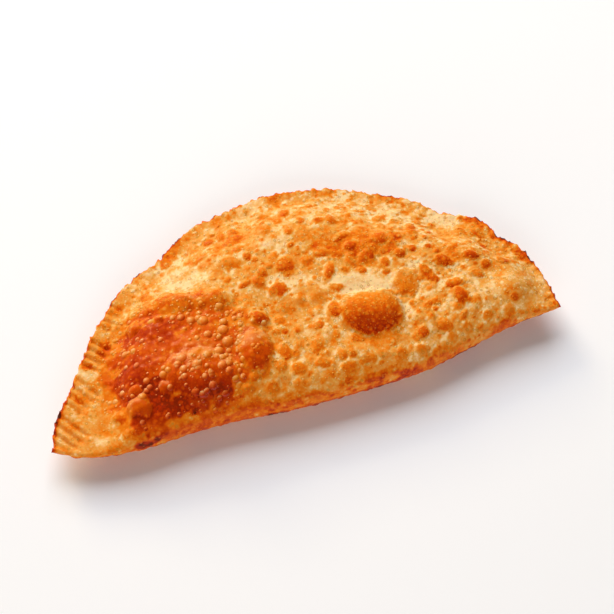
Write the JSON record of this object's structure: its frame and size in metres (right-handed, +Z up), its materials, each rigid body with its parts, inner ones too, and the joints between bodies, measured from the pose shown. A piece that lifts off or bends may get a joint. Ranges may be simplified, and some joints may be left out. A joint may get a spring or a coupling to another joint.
{
  "type": "cheburek",
  "caption": "Half-moon turnover of thin fried dough, crimped round its arc, with a blistered and browned crust.",
  "frame": {"origin": "on the table, under the middle of the bounding box", "axes": "+X along the length from tip to tip, +Y from the fold to the crimped arc, +Z up"},
  "size_m": [0.22, 0.1033, 0.0285],
  "materials": {
    "crust": "deep-fried dough: golden yellow to deep orange brown, blistered and grainy, satin with fat, glossier where it is browned"
  },
  "bodies": {
    "root": {"cheburek": "crust"}
  },
  "joints": []
}
